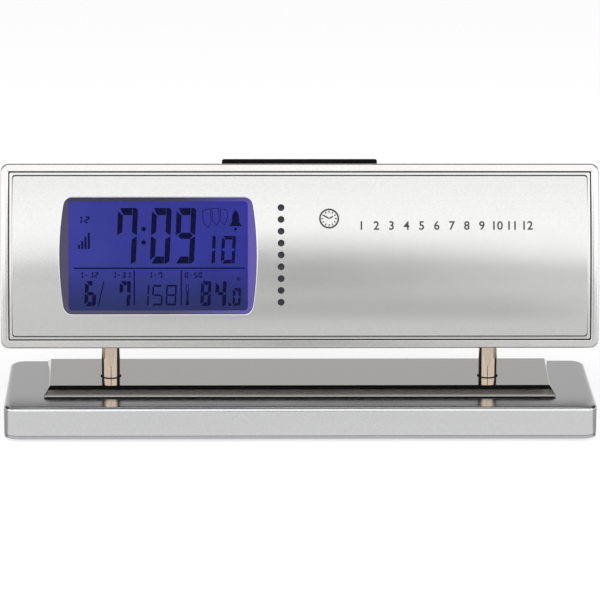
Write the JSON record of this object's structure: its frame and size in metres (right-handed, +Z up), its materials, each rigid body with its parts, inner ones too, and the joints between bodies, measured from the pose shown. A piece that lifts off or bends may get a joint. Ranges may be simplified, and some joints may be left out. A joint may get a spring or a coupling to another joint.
{
  "type": "digital desk clock",
  "caption": "Wide silver digital desk clock: a leaning slab head with a convex front and a blue display at the left, on polished posts over a flat weighted base, with a bar button on top.",
  "frame": {"origin": "under the middle of the base, on the surface that the feet stand on", "axes": "+X to the right of someone who reads the clock, along its longest side; -Y out of the front; +Z up"},
  "size_m": [0.203, 0.058, 0.0883],
  "materials": {
    "silver_case": "silver metallic paint, satin gloss",
    "satin_face": "satin, fine grain",
    "base_silver": "silver lacquer, glossy top and satin sides",
    "deck_silver": "mirror-like silver lacquer",
    "polished_steel": "polished, warm nickel tone",
    "plain_steel": "plain zinc-plated steel",
    "black_rubber": "matte rubber",
    "grey_rubber": "matte silicone rubber",
    "black_gloss": "glossy moulded plastic",
    "black_case": "fine textured black moulded plastic",
    "dark_surround": "smoke grey moulded plastic",
    "clear_lens": "clear acrylic",
    "display_glass": "blue back-lit liquid crystal glass",
    "light_guide": "frosted light guide, lit blue",
    "white_plastic": "moulded plastic",
    "grey_plastic": "fine textured moulded plastic",
    "board_green": "solder-masked circuit board",
    "ferrite": "sintered ferrite",
    "copper_wire": "enamelled copper winding",
    "contact_brass": "plated spring brass",
    "cell_jacket": "printed cell jacket, plain",
    "black_felt": "thin felt"
  },
  "bodies": {
    "clock": {"base_shell": "base_silver", "base_deck": "deck_silver", "base_floor_plate": "base_silver", "ballast_plate": "plain_steel", "foot_front_left": "black_rubber", "foot_back_left": "black_rubber", "foot_front_right": "black_rubber", "foot_back_right": "black_rubber", "base_screw_front_left": "plain_steel", "base_screw_back_left": "plain_steel", "base_screw_front_right": "plain_steel", "base_screw_back_right": "plain_steel", "post_left": "polished_steel", "post_right": "polished_steel", "post_ring_left": "black_rubber", "post_ring_right": "black_rubber", "post_bolt_left": "plain_steel", "post_bolt_right": "plain_steel", "front_bezel": "silver_case", "face_plate": "satin_face", "sound_felt": "black_felt", "display_surround": "dark_surround", "display_lens": "clear_lens", "lcd_panel": "display_glass", "backlight_panel": "light_guide", "display_frame": "white_plastic", "contact_strip": "black_rubber", "main_board": "board_green", "clock_chip": "black_gloss", "quartz_crystal": "plain_steel", "thermistor": "black_gloss", "piezo_buzzer": "black_gloss", "ferrite_rod": "ferrite", "antenna_coil": "copper_wire", "rear_cover": "black_case", "cover_screw_upper_left": "plain_steel", "cover_screw_lower_left": "plain_steel", "cover_screw_upper_right": "plain_steel", "cover_screw_lower_right": "plain_steel", "post_clamp_screw_left": "plain_steel", "post_clamp_screw_right": "plain_steel", "snooze_board": "board_green", "snooze_switch": "black_gloss", "keypad_mat": "grey_rubber", "alarm_switch_body": "plain_steel", "battery_upper": "cell_jacket", "battery_lower": "cell_jacket", "battery_jumper": "contact_brass", "battery_plus_contact": "contact_brass", "battery_minus_spring": "contact_brass"},
    "snooze_bar": {"snooze_bar": "black_gloss"},
    "rear_button_1": {"rear_button_1": "grey_plastic"},
    "rear_button_2": {"rear_button_2": "grey_plastic"},
    "rear_button_3": {"rear_button_3": "grey_plastic"},
    "rear_button_4": {"rear_button_4": "grey_plastic"},
    "rear_button_5": {"rear_button_5": "grey_plastic"},
    "rear_button_6": {"rear_button_6": "grey_plastic"},
    "alarm_slider": {"alarm_slider": "black_gloss"},
    "battery_door": {"battery_door": "black_case"}
  },
  "joints": [
    {"name": "snooze_press", "type": "slide", "parent": "clock", "child": "snooze_bar", "axis": [0, -0.2588, -0.9659], "range_m": [0, 0.001], "stiffness_N_per_m": 1500, "springref_m": -0.0004},
    {"name": "button_1_press", "type": "slide", "parent": "clock", "child": "rear_button_1", "axis": [0, -0.9659, 0.2588], "range_m": [0, 0.0007], "stiffness_N_per_m": 1200, "springref_m": -0.0003},
    {"name": "button_2_press", "type": "slide", "parent": "clock", "child": "rear_button_2", "axis": [0, -0.9659, 0.2588], "range_m": [0, 0.0007], "stiffness_N_per_m": 1200, "springref_m": -0.0003},
    {"name": "button_3_press", "type": "slide", "parent": "clock", "child": "rear_button_3", "axis": [0, -0.9659, 0.2588], "range_m": [0, 0.0007], "stiffness_N_per_m": 1200, "springref_m": -0.0003},
    {"name": "button_4_press", "type": "slide", "parent": "clock", "child": "rear_button_4", "axis": [0, -0.9659, 0.2588], "range_m": [0, 0.0007], "stiffness_N_per_m": 1200, "springref_m": -0.0003},
    {"name": "button_5_press", "type": "slide", "parent": "clock", "child": "rear_button_5", "axis": [0, -0.9659, 0.2588], "range_m": [0, 0.0007], "stiffness_N_per_m": 1200, "springref_m": -0.0003},
    {"name": "button_6_press", "type": "slide", "parent": "clock", "child": "rear_button_6", "axis": [0, -0.9659, 0.2588], "range_m": [0, 0.0007], "stiffness_N_per_m": 1200, "springref_m": -0.0003},
    {"name": "alarm_slide", "type": "slide", "parent": "clock", "child": "alarm_slider", "axis": [1, 0, 0], "range_m": [0, 0.004]},
    {"name": "battery_door_lift", "type": "slide", "parent": "clock", "child": "battery_door", "axis": [0, 0.9659, -0.2588], "range_m": [0, 0.02]}
  ]
}
